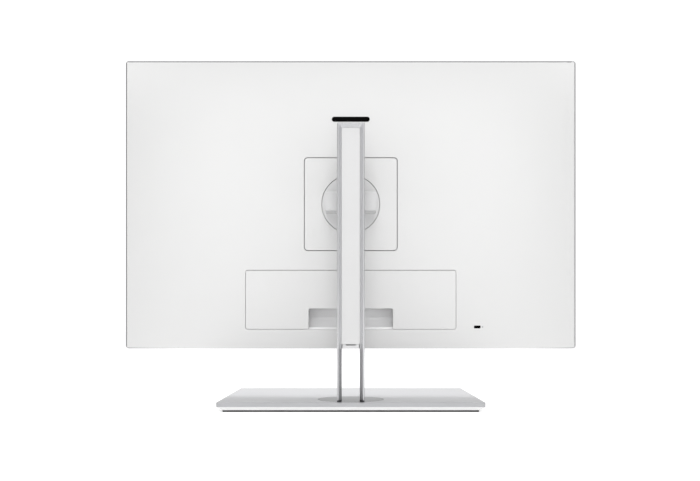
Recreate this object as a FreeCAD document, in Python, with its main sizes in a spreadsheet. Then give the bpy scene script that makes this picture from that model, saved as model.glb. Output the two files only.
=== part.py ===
import FreeCAD, Part, Sketcher
import math
import os
import re
from FreeCAD import Placement, Rotation, Vector

# All-in-one PC on a height-adjustable stand: a parametric FreeCAD document.
# Frame: millimetres, +Z up, origin on the desk under the centre of the foot. The screen
# faces -Y and the rear cover faces +Y, so +X is the viewer's right in front of the screen.

doc = FreeCAD.newDocument("all_in_one_pc")

# ---------------------------------------------------------------- driving dimensions

SIZES = {
    # foot of the stand
    "foot_wide": (284, "foot, across X"),
    "foot_deep": (210, "foot, along Y"),
    "foot_corner": (3, "corner radius of the foot in plan"),
    "pad_high": (1.9, "rubber strips under the foot"),
    "pad_wide": (9, "rubber strips under the foot"),
    "pad_inset": (6, "rubber strips inside the foot's outline"),
    "tray_high": (3.8, "bevelled underside of the foot"),
    "tray_bevel": (5.3, "how far the underside's bevel runs in"),
    "skirt_high": (4.5, "upright edge of the foot's top shell"),
    "skin": (1.8, "top thickness of the foot's top shell"),
    "skirt_wall": (2, "edge thickness of the foot's top shell"),
    "foot_edge": (0.15, "chamfer round the top of the foot"),
    "ballast_wide": (268, "steel ballast, across X"),
    "ballast_deep": (194, "steel ballast, along Y"),
    # swivel
    "swivel_back": (60.5, "swivel axis, behind the foot's centre"),
    "disc_radius": (35.5, "swivel disc"),
    "disc_gap": (0.8, "gap round the swivel disc"),
    "disc_thick": (3.2, "swivel disc"),
    "hub_radius": (9, "spindle under the swivel disc"),
    "washer_thick": (0.8, "sliding washer under the swivel disc"),
    "retainer_radius": (20, "plate that holds the swivel disc down"),
    "retainer_thick": (1.4, "plate that holds the swivel disc down"),
    # column
    "column_back": (92.4, "rear face of the column, behind the foot's centre"),
    "column_deep": (33.4, "column, along Y"),
    "column_wide": (29.4, "column, across X"),
    "column_top": (308, "top of the column above the desk"),
    "gasket_high": (1.4, "dark gaskets between the uprights and the swivel disc"),
    "strut_wide": (4.9, "each upright of the column"),
    "bevel_wide": (3.4, "bevel round the column's insert, on the rear face"),
    "bevel_deep": (4, "bevel round the column's insert, into the depth"),
    "column_edge": (0.7, "small chamfer on the column's outer edges"),
    "insert_low": (71.4, "lower end of the column's insert above the desk"),
    "insert_thick": (2, "column insert"),
    "front_plate_thick": (1.6, "slotted plate on the column's front"),
    "end_cap_high": (4.5, "cap that closes the insert's lower end"),
    "slide_fit": (0.1, "gap between the insert and each upright"),
    # height slide
    "head_high": (232, "tilt axis above the desk, at rest"),
    "travel_up": (56, "height travel above the rest position"),
    "travel_down": (44, "height travel below the rest position"),
    "rod_radius": (1.8, "guide rods"),
    "rod_apart": (12.4, "guide rods, centre to centre"),
    "rod_back": (76, "guide rods, behind the foot's centre"),
    "carriage_wide": (19, "carriage, across X"),
    "carriage_front": (64, "front face of the carriage"),
    "carriage_back": (84.4, "rear face of the carriage"),
    "carriage_up": (8, "top of the carriage above the tilt axis"),
    "carriage_down": (58, "bottom of the carriage below the tilt axis"),
    "bush_radius": (2.8, "slide bushes, outside"),
    "bush_high": (12, "slide bushes"),
    "running": (0.05, "running clearance of a shaft in its bore, on the radius"),
    "drum_back": (71, "spring drum axis, behind the foot's centre"),
    "drum_down": (36, "spring drum axis below the tilt axis"),
    "drum_radius": (8, "lift spring wound on its drum"),
    "drum_wide": (8, "lift spring and drum"),
    "drum_axle_radius": (1.8, "axle of the spring drum"),
    "ribbon_thick": (0.3, "lift spring's steel ribbon"),
    # tilt head
    "tilt_back": (31, "tilt axis, behind the foot's centre"),
    "barrel_radius": (10, "hinge barrel on the arm"),
    "barrel_wide": (18.8, "hinge barrel on the arm"),
    "arm_wide": (14.4, "arm through the column's slot"),
    "arm_high": (19, "arm through the column's slot"),
    "axle_radius": (3, "tilt axle"),
    "knuckle_wide": (57, "tilt head, over both knuckles"),
    "knuckle_high": (22.4, "tilt head's knuckles"),
    "knuckle_back": (8.5, "rear face of the knuckles, behind the tilt axis"),
    "knuckle_edge": (2.2, "rounded edges of the knuckles"),
    "knuckle_gap": (0.5, "friction washer between barrel and knuckle"),
    "pivot_radius": (33.2, "round pivot disc of the tilt head"),
    "pivot_gap": (0.8, "gap round the pivot disc"),
    "pivot_hub": (24, "hub of the pivot disc"),
    # computer, overall
    "pc_wide": (542, "computer, across X"),
    "pc_high": (346, "computer, top to bottom"),
    "pc_low": (64, "bottom of the computer above the desk, at rest"),
    "pc_corner": (3, "corner radius of the computer's outline"),
    "screen_front": (-39, "front face of the bezel"),
    "bezel_thick": (2.5, "front bezel"),
    "bezel_lip": (1, "bezel lip in front of the display"),
    "bezel_inset": (0.5, "bezel inside the frame's outline"),
    "view_wide": (527, "visible part of the display, 23.8 inch diagonal"),
    "view_high": (296.5, "visible part of the display"),
    "top_border": (8.5, "bezel above the display"),
    "frame_back": (-27, "rear face of the frame round the computer"),
    "frame_wall": (1.6, "wall of the frame"),
    "flange_wide": (6, "inward flange at the frame's rear"),
    "flange_thick": (2, "inward flange at the frame's rear"),
    "display_lap": (2, "display behind the bezel's lip"),
    "glass_thick": (1.5, "liquid-crystal glass"),
    "backlight_thick": (6, "backlight unit"),
    "chassis_thick": (1.2, "steel chassis plate"),
    # rear cover
    "cover_back": (13, "flat middle of the rear cover"),
    "cover_edge": (0.8, "thickness of the rear cover's rim"),
    "cover_inset": (1.5, "rear cover inside the frame, at the sides and top"),
    "cover_inset_low": (0.8, "rear cover inside the frame, at the bottom"),
    "cover_wall": (2.4, "wall of the rear cover"),
    "bulge_side": (150, "width of the curved zone at each side"),
    "bulge_top": (110, "height of the curved zone at the top"),
    "bulge_low": (30, "height of the curved zone at the bottom"),
    "bulge_low_part": (0.05, "part of the bulge lost at the bottom edge"),
    "bulge_power": (2.2, "how round the bulge is"),
    # mount plate between computer and stand
    "plate_wide": (107, "square mount plate"),
    "plate_corner": (3.5, "its corner radius"),
    "plate_gap": (0.8, "gap round the mount plate"),
    "plate_front": (5, "front face of the mount plate"),
    "ledge": (9.1, "ledge that carries the pivot disc"),
    # ports
    "port_wide": (244.4, "port cover"),
    "port_high": (69, "port cover"),
    "port_low": (86.8, "lower edge of the port cover above the desk"),
    "port_gap": (0.5, "gap round the port cover"),
    "port_corner": (3, "corner radius of the port cover"),
    "port_thick": (2, "wall of the port cover"),
    "notch_wide": (98, "cable notch in the port cover"),
    "notch_high": (24.4, "cable notch in the port cover"),
    "bay_front": (-14, "floor of the port bay"),
    "bay_wall": (2, "floor of the port bay"),
    "bay_inset": (2.5, "bay inside the port cover's outline"),
    "board_front": (-14, "front face of the system board"),
    "board_thick": (1.6, "system board"),
    # small controls
    "button_long": (13.6, "power button, up the side"),
    "button_wide": (4.2, "power button, along Y"),
    "button_high": (93, "power button above the desk"),
    "button_back": (-33.2, "power button's axis along Y"),
    "button_proud": (0.7, "power button outside the frame"),
    "button_gap": (0.3, "gap round the power button"),
    "camera_high": (406.6, "camera above the desk"),
    "grille_wide": (500, "opening for the speakers, across X"),
    "grille_high": (16, "opening for the speakers"),
    "grille_low": (75, "lower edge of the speakers' opening above the desk"),
    "grille_corner": (4, "corner radius of the speakers' opening"),
    "lock_side": (-146.7, "security lock slot, across X"),
    "lock_high": (89.7, "security lock slot above the desk"),
    "lock_wide": (7.8, "security lock slot"),
    "lock_tall": (3.4, "security lock slot"),
    "lock_rim": (0.4, "black rim round the lock slot"),
    "hinge_back": (11.8, "port cover's hinge axis"),
    "hinge_down": (2.4, "port cover's hinge axis below the top of its opening"),
    "hinge_pin": (0.8, "port cover's hinge pins, radius"),
    "badge_high": (331, "plain badge above the desk"),
    "badge_wide": (44, "plain badge"),
    "badge_tall": (6, "plain badge"),
    "pipe_radius": (2.5, "heat pipe"),
    "fan_side": (-160, "fan axis, across X"),
    "fan_high": (290, "fan axis above the desk"),
    "fan_radius": (30, "fan impeller"),
    "speaker_side": (195, "middle of each loudspeaker, across X"),
}

sheet = doc.addObject("Spreadsheet::Sheet", "sizes")
for number, (alias, (value, meaning)) in enumerate(SIZES.items(), start=1):
    sheet.set(f"A{number}", str(value))
    sheet.setAlias(f"A{number}", alias)
    sheet.set(f"B{number}", meaning)
doc.recompute()

ALIAS = re.compile(r"\b(" + "|".join(SIZES) + r")\b")


def mm(alias):
    """A cell's value, for the few shapes that are made in code."""
    return float(sheet.get(alias))


def bind(thing, prop, formula):
    """Ties a property to a formula of cell names, such as "foot_wide / 2 - skirt_wall"."""
    thing.setExpression(prop, ALIAS.sub(r"sizes.\1", str(formula)))


# ---------------------------------------------------------------- building helpers

scratch = 0


def fresh(kind, label=None):
    """A new document object. Only the finished sub-parts get a plain label."""
    global scratch
    scratch += 1
    thing = doc.addObject(kind, f"step_{scratch}")
    if label:
        thing.Label = label
    return thing


def block(x, y, z, label=None):
    """A box between two formulas along each axis."""
    thing = fresh("Part::Box", label)
    for (low, high), side, axis in zip((x, y, z), ("Length", "Width", "Height"), "xyz"):
        bind(thing, side, f"({high}) - ({low})")
        bind(thing, f"Placement.Base.{axis}", low)
    return thing


TURN = {
    "x": Rotation(Vector(0, 1, 0), 90),
    "y": Rotation(Vector(1, 0, 0), -90),
    "z": Rotation(),
}


def rod(axis, radius, low, high, centre, label=None):
    """A cylinder along an axis from low to high; centre gives its other two places."""
    thing = fresh("Part::Cylinder", label)
    thing.Placement = Placement(Vector(), TURN[axis])
    bind(thing, "Radius", radius)
    bind(thing, "Height", f"({high}) - ({low})")
    places = dict(zip([a for a in "xyz" if a != axis], centre))
    places[axis] = low
    for name, place in places.items():
        bind(thing, f"Placement.Base.{name}", place)
    return thing


def screw_head(axis, wide, narrow, low, high, centre):
    """A countersunk head: a cone along an axis, with its radius at low and at high."""
    thing = fresh("Part::Cone")
    thing.Placement = Placement(Vector(), TURN[axis])
    bind(thing, "Radius1", wide)
    bind(thing, "Radius2", narrow)
    bind(thing, "Height", f"({high}) - ({low})")
    places = dict(zip([a for a in "xyz" if a != axis], centre))
    places[axis] = low
    for name, place in places.items():
        bind(thing, f"Placement.Base.{name}", place)
    return thing


def fuse(things, label=None):
    thing = fresh("Part::MultiFuse", label)
    thing.Shapes = list(things)
    thing.Refine = True
    return thing


def group(things, label=None):
    """Separate solids that share one node."""
    thing = fresh("Part::Compound", label)
    thing.Links = list(things)
    return thing


def cut(base, tools, label=None):
    """The base with every tool taken away."""
    thing = fresh("Part::Cut", label)
    thing.Base = base
    thing.Tool = tools[0] if len(tools) == 1 else group(tools)
    thing.Refine = True
    return thing


def common(base, tool, label=None):
    thing = fresh("Part::Common", label)
    thing.Base = base
    thing.Tool = tool
    return thing


def ring(axis, outer, inner, low, high, centre, label=None):
    hole = rod(axis, inner, f"({low}) - 1", f"({high}) + 1", centre)
    return cut(rod(axis, outer, low, high, centre), [hole], label)


def body(label):
    thing = doc.addObject("PartDesign::Body", f"body_{label}")
    thing.Label = label
    return thing


PLANES = {"xy": "XY_Plane", "xz": "XZ_Plane", "yz": "YZ_Plane"}


def sketch(owner, plane, offset):
    """A sketch on one of the body's own planes, moved along +Z, +Y or +X by a formula."""
    thing = owner.newObject("Sketcher::SketchObject", "outline")
    support = [f for f in owner.Origin.OriginFeatures if f.Role == PLANES[plane]][0]
    thing.AttachmentSupport = [(support, "")]
    thing.MapMode = "FlatFace"
    sign = "-" if plane == "xz" else ""
    bind(thing, "AttachmentOffset.Base.z", f"{sign}({offset})")
    return thing


def pin_down(outline, kind, geometry, point, formula):
    """Holds one point of a sketch at a distance from the origin, given by a formula."""
    index = outline.addConstraint(Sketcher.Constraint(kind, -1, 1, geometry, point, 1.0))
    name = f"{kind}_{index}"
    outline.renameConstraint(index, name)
    bind(outline, f"Constraints.{name}", formula)


def rectangle(outline, x, y, corner=None):
    """A rectangle between two formulas each way, with round corners if a radius is given."""
    (x0, x1), (y0, y1) = x, y
    radius = 0.1
    at = [Vector(-1, -1, 0), Vector(1, -1, 0), Vector(1, 1, 0), Vector(-1, 1, 0)]
    along = [Vector(1, 0, 0), Vector(0, 1, 0), Vector(-1, 0, 0), Vector(0, -1, 0)]
    first = outline.GeometryCount
    for side in range(4):
        start, end = at[side], at[(side + 1) % 4]
        if corner is None:
            outline.addGeometry(Part.LineSegment(start, end), False)
            continue
        run = along[side] * radius
        outline.addGeometry(Part.LineSegment(start + run, end - run), False)
        middle = end - run + along[(side + 1) % 4] * radius
        circle = Part.Circle(middle, Vector(0, 0, 1), radius)
        turn = math.radians(90 * side - 90)
        arc = Part.ArcOfCircle(circle, turn, turn + math.pi / 2)
        outline.addGeometry(arc, False)
    count = 4 if corner is None else 8
    joint = "Coincident" if corner is None else "Tangent"
    for i in range(count):
        here, there = first + i, first + (i + 1) % count
        outline.addConstraint(Sketcher.Constraint(joint, here, 2, there, 1))
    step = count // 4
    bottom, right, top, left = (first + step * i for i in range(4))
    for i in (bottom, top):
        outline.addConstraint(Sketcher.Constraint("Horizontal", i))
    for i in (right, left):
        outline.addConstraint(Sketcher.Constraint("Vertical", i))
    pin_down(outline, "DistanceY", bottom, 1, y0)
    pin_down(outline, "DistanceX", right, 1, x1)
    pin_down(outline, "DistanceY", top, 1, y1)
    pin_down(outline, "DistanceX", left, 1, x0)
    if corner is not None:
        arcs = [first + 1 + 2 * i for i in range(4)]
        for here, there in zip(arcs, arcs[1:]):
            outline.addConstraint(Sketcher.Constraint("Equal", here, there))
        index = outline.addConstraint(Sketcher.Constraint("Radius", arcs[0], radius))
        outline.renameConstraint(index, f"radius_{index}")
        bind(outline, f"Constraints.radius_{index}", corner)


def circle(outline, x, y, radius):
    index = outline.addGeometry(Part.Circle(Vector(1, 1, 0), Vector(0, 0, 1), 1), False)
    pin_down(outline, "DistanceX", index, 3, x)
    pin_down(outline, "DistanceY", index, 3, y)
    size = outline.addConstraint(Sketcher.Constraint("Radius", index, 1.0))
    outline.renameConstraint(size, f"radius_{size}")
    bind(outline, f"Constraints.radius_{size}", radius)


def polygon(outline, points):
    """A closed outline through points given as pairs of formulas."""
    first = outline.GeometryCount
    count = len(points)
    turns = [2 * math.pi * i / count for i in range(count)]
    rough = [Vector(math.cos(turn), math.sin(turn), 0) for turn in turns]
    for i in range(count):
        outline.addGeometry(Part.LineSegment(rough[i], rough[(i + 1) % count]), False)
    for i in range(count):
        here, there = first + i, first + (i + 1) % count
        outline.addConstraint(Sketcher.Constraint("Coincident", here, 2, there, 1))
    for i, (x, y) in enumerate(points):
        pin_down(outline, "DistanceX", first + i, 1, x)
        pin_down(outline, "DistanceY", first + i, 1, y)


def pad(owner, outline, length):
    thing = owner.newObject("PartDesign::Pad", "pad")
    thing.Profile = outline
    bind(thing, "Length", length)
    doc.recompute()
    return thing


def pocket(owner, outline, depth):
    """Cuts from the sketch the way a pad would grow: upwards, or towards the screen."""
    before = owner.Shape.Volume
    thing = owner.newObject("PartDesign::Pocket", "pocket")
    thing.Profile = outline
    thing.Reversed = True
    bind(thing, "Length", depth)
    doc.recompute()
    if not owner.Shape.Volume < before - 1e-3:
        raise ValueError(f"a pocket in {owner.Label} cuts nothing")
    return thing


def edges_where(thing, test):
    """The names of a shape's edges whose middle and direction pass a test."""
    names = []
    for number, edge in enumerate(thing.Shape.Edges, start=1):
        middle = edge.valueAt((edge.FirstParameter + edge.LastParameter) / 2)
        ends = edge.Vertexes
        run = ends[-1].Point - ends[0].Point
        if test(middle, run):
            names.append(f"Edge{number}")
    return names


def chamfer(owner, base, test, size, depth=None):
    thing = owner.newObject("PartDesign::Chamfer", "chamfer")
    thing.Base = (base, edges_where(base, test))
    if depth is not None:
        thing.ChamferType = "Two distances"
        bind(thing, "Size2", depth)
    bind(thing, "Size", size)
    doc.recompute()
    return thing


def fillet(owner, base, test, radius):
    thing = owner.newObject("PartDesign::Fillet", "fillet")
    thing.Base = (base, edges_where(base, test))
    bind(thing, "Radius", radius)
    doc.recompute()
    return thing


def near(a, b):
    return abs(a - b) < 0.01


# heights and depths that several sub-parts share
FOOT_TOP = "pad_high + tray_high + skirt_high"
DISC_LOW = f"{FOOT_TOP} - disc_thick"
WASHER_LOW = f"{DISC_LOW} - washer_thick"
BALLAST_LOW = "pad_high + 1.3"
RETAINER_LOW = "pad_high + 1.4"
RETAINER_TOP = f"{RETAINER_LOW} + retainer_thick"
COLUMN_FRONT = "column_back - column_deep"
INSERT_BACK = "column_back - bevel_deep"
SHAFT_HALF = "column_wide / 2 - strut_wide"
SHAFT_TOP = "column_top - strut_wide"
RIBBON_FRONT = "drum_back + drum_radius + 0.05"
PC_TOP = "pc_low + pc_high"
GLASS_FRONT = "screen_front + bezel_lip"
FRAME_FRONT = "screen_front + bezel_thick"
CHASSIS_FRONT = "frame_back - flange_thick - chassis_thick - 0.1"
CHASSIS_BACK = "frame_back - flange_thick - 0.1"
VIEW_TOP = f"{PC_TOP} - bezel_inset - top_border"
BOARD_BACK = "board_front + board_thick"
PORT_TOP = "port_low + port_high"
HINGE = ("hinge_back", f"{PORT_TOP} - hinge_down")

# ---------------------------------------------------------------- foot of the stand


def make_foot_shell():
    """The foot's aluminium top: a shallow upside-down tray with a round hole for the disc."""
    owner = body("foot_shell")
    outline = sketch(owner, "xy", "pad_high + tray_high")
    half = ("-foot_wide / 2", "foot_wide / 2"), ("-foot_deep / 2", "foot_deep / 2")
    rectangle(outline, *half, corner="foot_corner")
    base = pad(owner, outline, "skirt_high")
    top = mm("pad_high") + mm("tray_high") + mm("skirt_high")
    chamfer(owner, base, lambda p, run: near(p.z, top), "foot_edge")
    inside = sketch(owner, "xy", "pad_high + tray_high")
    rectangle(
        inside,
        ("skirt_wall - foot_wide / 2", "foot_wide / 2 - skirt_wall"),
        ("skirt_wall - foot_deep / 2", "foot_deep / 2 - skirt_wall"),
        corner="foot_corner - skirt_wall / 2",
    )
    pocket(owner, inside, "skirt_high - skin")
    hole = sketch(owner, "xy", "pad_high + tray_high")
    circle(hole, "0", "swivel_back", "disc_radius + disc_gap")
    pocket(owner, hole, "skirt_high + 1")


def make_foot_tray():
    """The foot's white plastic underside: it tapers to the bottom and holds the ballast."""
    owner = body("foot_tray")
    loft = owner.newObject("PartDesign::AdditiveLoft", "loft")
    outlines = []
    for height, inset in (("pad_high", "tray_bevel"), ("pad_high + tray_high", "0")):
        outline = sketch(owner, "xy", height)
        rectangle(
            outline,
            (f"{inset} - foot_wide / 2", f"foot_wide / 2 - {inset}"),
            (f"{inset} - foot_deep / 2", f"foot_deep / 2 - {inset}"),
            corner="foot_corner",
        )
        outlines.append(outline)
    loft.Profile = outlines[0]
    loft.Sections = outlines[1:]
    loft.Ruled = True
    doc.recompute()
    owner.Tip = loft
    seat = sketch(owner, "xy", "pad_high + 1.2")
    rectangle(
        seat,
        ("-ballast_wide / 2 - 0.4", "ballast_wide / 2 + 0.4"),
        ("-ballast_deep / 2 - 0.4", "ballast_deep / 2 + 0.4"),
    )
    pocket(owner, seat, "tray_high")


def make_ballast():
    """The steel plate that keeps the stand upright, bored for the swivel's spindle."""
    ballast_top = f"{FOOT_TOP} - skin - 0.1"
    plate = block(
        ("-ballast_wide / 2", "ballast_wide / 2"),
        ("-ballast_deep / 2", "ballast_deep / 2"),
        (BALLAST_LOW, ballast_top),
    )
    centre = ("0", "swivel_back")
    hollows = [
        rod("z", "disc_radius + disc_gap", WASHER_LOW, f"{FOOT_TOP} + 1", centre),
        rod("z", "hub_radius + running", "0", f"{FOOT_TOP} + 1", centre),
        rod("z", "retainer_radius + 1", "0", f"{RETAINER_TOP} + 0.1", centre),
    ]
    cut(plate, hollows, "foot_ballast")


def make_foot_pads():
    """Four rubber strips, one node, that frame the tray's underside."""
    x_out, y_out = "(foot_wide / 2 - pad_inset)", "(foot_deep / 2 - pad_inset)"
    x_in, y_in = f"({x_out} - pad_wide)", f"({y_out} - pad_wide)"
    strips = [
        ((f"-{x_out}", x_out), (y_in, y_out)),
        ((f"-{x_out}", x_out), (f"-{y_out}", f"-{y_in}")),
        ((x_in, x_out), (f"1 - {y_in}", f"{y_in} - 1")),
        ((f"-{x_out}", f"-{x_in}"), (f"1 - {y_in}", f"{y_in} - 1")),
    ]
    pads = []
    for number, (x, y) in enumerate(strips):
        owner = body(f"foot_strip_{number}")
        outline = sketch(owner, "xy", "0")
        rectangle(outline, x, y, corner="2")
        pad(owner, outline, "pad_high")
        pads.append(owner)
    group(pads, "foot_pads")


# ---------------------------------------------------------------- swivel

COLUMN_SCREWS = [
    (f"{side} * (column_wide - strut_wide) / 2", f"column_back - {back}")
    for side in (-1, 1)
    for back in (9, 25)
]


def three_round(radius, x, y):
    """Three places evenly round a centre, as pairs of formulas."""
    places = []
    for turn in (math.radians(angle) for angle in (90, 210, 330)):
        along, up = radius * math.cos(turn), radius * math.sin(turn)
        places.append((f"{x} + {along:.3f}", f"{y} + {up:.3f}"))
    return places


RETAINER_SCREWS = three_round(5.5, "0", "swivel_back")
PIVOT_SCREWS = three_round(18, "0", "head_high")


def screw_up(centre, radius, head, head_high, low, high):
    """A countersunk screw that points up, head down."""
    cone = screw_head("z", head, radius, low, f"{low} + {head_high}", centre)
    return fuse([cone, rod("z", radius, low, high, centre)])


def make_swivel():
    """The disc that carries the column, its washer and retainer, and the screws of both."""
    centre = ("0", "swivel_back")
    disc = fuse(
        [
            rod("z", "disc_radius", DISC_LOW, FOOT_TOP, centre),
            rod("z", "hub_radius", RETAINER_TOP, DISC_LOW, centre),
        ]
    )
    holes = []
    for place in COLUMN_SCREWS:
        holes.append(rod("z", "2.05", RETAINER_TOP, f"{FOOT_TOP} + 1", place))
        holes.append(screw_head("z", "4.05", "2.05", DISC_LOW, f"{DISC_LOW} + 2", place))
    for place in RETAINER_SCREWS:
        holes.append(rod("z", "1.55", "0", f"{FOOT_TOP} - 1.2", place))
    cut(disc, holes, "swivel_disc")
    ring("z", "disc_radius - 3", "hub_radius + 2", WASHER_LOW, DISC_LOW, centre, "swivel_washer")
    plate = rod("z", "retainer_radius", RETAINER_LOW, RETAINER_TOP, centre)
    seats = []
    for place in RETAINER_SCREWS:
        seats.append(rod("z", "1.55", "0", f"{RETAINER_TOP} + 1", place))
        seats.append(screw_head("z", "2.85", "1.55", RETAINER_LOW, f"{RETAINER_LOW} + 1.2", place))
    cut(plate, seats, "swivel_retainer")
    tip = f"{FOOT_TOP} - 1.3"
    screws = [screw_up(place, "1.5", "2.8", "1.2", RETAINER_LOW, tip) for place in RETAINER_SCREWS]
    screws += [screw_up(place, "2", "4", "1.95", DISC_LOW, f"{FOOT_TOP} + 10") for place in COLUMN_SCREWS]
    group(screws, "swivel_screws")


# ---------------------------------------------------------------- column


def make_column_frame():
    """Two uprights joined across the top, with a mitred bevel round the insert."""
    owner = body("column_frame")
    outline = sketch(owner, "xz", "column_back")
    rectangle(outline, ("-column_wide / 2", "column_wide / 2"), (f"{FOOT_TOP} + gasket_high", "column_top"))
    pad(owner, outline, "column_deep")
    shaft = sketch(owner, "xz", "column_back + 1")
    rectangle(shaft, (f"-({SHAFT_HALF})", SHAFT_HALF), (f"{FOOT_TOP} - 1", SHAFT_TOP))
    opened = pocket(owner, shaft, "column_deep + 2")
    back, half = mm("column_back"), mm("column_wide") / 2 - mm("strut_wide")
    top = mm("column_top") - mm("strut_wide")

    def round_the_insert(p, run):
        upright = near(abs(p.x), half) and abs(run.z) > 50
        across = near(p.z, top) and abs(run.x) > 10
        return near(p.y, back) and (upright or across)

    bevelled = chamfer(owner, opened, round_the_insert, "bevel_wide", depth="bevel_deep")
    outside, crown = mm("column_wide") / 2, mm("column_top")
    chamfer(
        owner,
        bevelled,
        lambda p, run: (near(abs(p.x), outside) and abs(run.z) > 50) or near(p.z, crown),
        "column_edge",
    )
    holes = sketch(owner, "xy", FOOT_TOP)
    for place in COLUMN_SCREWS:
        circle(holes, place[0], place[1], "2.05")
    pocket(owner, holes, "12")
    anchor = sketch(owner, "xy", f"{SHAFT_TOP} - 5")
    rectangle(anchor, ("-7", "7"), (f"{RIBBON_FRONT} + ribbon_thick", "84"))
    pad(owner, anchor, "5.5")


def make_column_skins():
    """The white insert behind, the slotted plate in front and the cap at the lower end."""
    half = f"({SHAFT_HALF} - slide_fit)"
    owner = body("column_insert")
    outline = sketch(owner, "xy", "insert_low")
    lip = "1.2"
    back, inside = INSERT_BACK, f"{INSERT_BACK} - insert_thick"
    front = f"{inside} - 1.6"
    polygon(
        outline,
        [
            (f"-{half}", back),
            (f"-{half}", front),
            (f"{lip} - {half}", front),
            (f"{lip} - {half}", inside),
            (f"{half} - {lip}", inside),
            (f"{half} - {lip}", front),
            (half, front),
            (half, back),
        ],
    )
    pad(owner, outline, f"{SHAFT_TOP} - 0.1 - insert_low")

    owner = body("column_front_plate")
    outline = sketch(owner, "xz", f"{COLUMN_FRONT} + 1 + front_plate_thick")
    rectangle(outline, (f"-{half}", half), ("insert_low", f"{SHAFT_TOP} - 0.1"))
    pad(owner, outline, "front_plate_thick")
    slot = sketch(owner, "xz", f"{COLUMN_FRONT} + 2 + front_plate_thick")
    rectangle(
        slot,
        ("-arm_wide / 2 - 0.7", "arm_wide / 2 + 0.7"),
        ("head_high - travel_down - arm_high / 2 - 3", "head_high + travel_up + arm_high / 2 + 2"),
        corner="3",
    )
    pocket(owner, slot, "front_plate_thick + 2")

    top = "insert_low - 0.1"
    z = (f"{top} - end_cap_high", top)
    wings = block((f"-({SHAFT_HALF})", SHAFT_HALF), ("column_back - 25", "column_back - 13"), z)
    core = block((f"0.8 - {half}", f"{half} - 0.8"), (f"{COLUMN_FRONT} + 2", f"{INSERT_BACK} - 0.4"), z)
    slit = block(("-5.3", "5.3"), (f"{INSERT_BACK} - 6", "column_back"), (f"{top} - 1.3", f"{top} + 1"))
    cut(fuse([wings, core]), [slit], "column_end_cap")


def make_gaskets():
    """Thin dark gaskets under the uprights, bored for the column's screws."""
    gaskets = []
    for side in (-1, 1):
        across = f"{side} * (column_wide - strut_wide) / 2"
        x = (f"{across} - strut_wide / 2 + 0.1", f"{across} + strut_wide / 2 - 0.1")
        y = (f"{COLUMN_FRONT} + 0.1", "column_back - 0.1")
        strip = block(x, y, (FOOT_TOP, f"{FOOT_TOP} + gasket_high"))
        places = [place for place in COLUMN_SCREWS if place[0].startswith(f"{side} *")]
        bores = [rod("z", "2.05", "0", f"{FOOT_TOP} + 5", place) for place in places]
        gaskets.append(cut(strip, bores))
    group(gaskets, "column_gaskets")


def make_guides():
    """The guide rods of the height slide."""
    rods = [
        rod("z", "rod_radius", "insert_low - 0.1", SHAFT_TOP, (f"{side} * rod_apart / 2", "rod_back"))
        for side in (-1, 1)
    ]
    group(rods, "guide_rods")


# ---------------------------------------------------------------- height slide


ARM_SCREWS = [(f"{side} * 5", f"head_high - {down}") for side in (-1, 1) for down in (20, 14)]


def make_carriage():
    """The carriage on the guide rods, bored for its bushes and hollowed for the drum and its ribbon."""
    low, high = "head_high - carriage_down", "head_high + carriage_up"
    x = ("-carriage_wide / 2", "carriage_wide / 2")
    base = block(x, ("carriage_front", "carriage_back"), (low, high))
    rods = [(f"{side} * rod_apart / 2", "rod_back") for side in (-1, 1)]
    drum = "head_high - drum_down"
    hollows = [rod("z", "bush_radius", f"{low} - 1", f"{high} + 1", place) for place in rods]
    hollows.append(
        block(
            ("-drum_wide / 2 - 0.2", "drum_wide / 2 + 0.2"),
            ("carriage_front - 1", "drum_back + drum_radius + 1.5"),
            (f"{drum} - drum_radius - 1.5", f"{drum} + drum_radius + 1.5"),
        )
    )
    hollows.append(
        block(
            ("-drum_wide / 2 - 0.2", "drum_wide / 2 + 0.2"),
            ("drum_back + drum_radius - 0.6", "drum_back + drum_radius + 1.5"),
            (f"{low} - 1", f"{high} + 1"),
        )
    )
    hollows.append(rod("x", "drum_axle_radius", "-carriage_wide", "carriage_wide", ("drum_back", drum)))
    for place in ARM_SCREWS:
        hollows.append(rod("y", "1.25", "carriage_front - 1", "carriage_front + 6.2", place))
    cut(base, hollows, "carriage")
    bushes = [
        ring("z", "bush_radius", "rod_radius + running", start, f"{start} + bush_high", place)
        for place in rods
        for start in (low, f"{high} - bush_high")
    ]
    group(bushes, "slide_bushes")


def make_lift_spring():
    """The constant-force spring: its wound drum, the drum's axle and the ribbon to the anchor."""
    drum = "head_high - drum_down"
    centre = ("drum_back", drum)
    half = "drum_wide / 2"
    ring("x", "drum_radius", "drum_axle_radius + running", f"-{half}", half, centre, "spring_drum")
    rod("x", "drum_axle_radius", "0.1 - carriage_wide / 2", "carriage_wide / 2 - 0.1", centre, "drum_axle")
    block(
        ("0.2 - drum_wide / 2", "drum_wide / 2 - 0.2"),
        (RIBBON_FRONT, f"{RIBBON_FRONT} + ribbon_thick"),
        (drum, f"{SHAFT_TOP} - 1"),
        "lift_spring_ribbon",
    )


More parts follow.
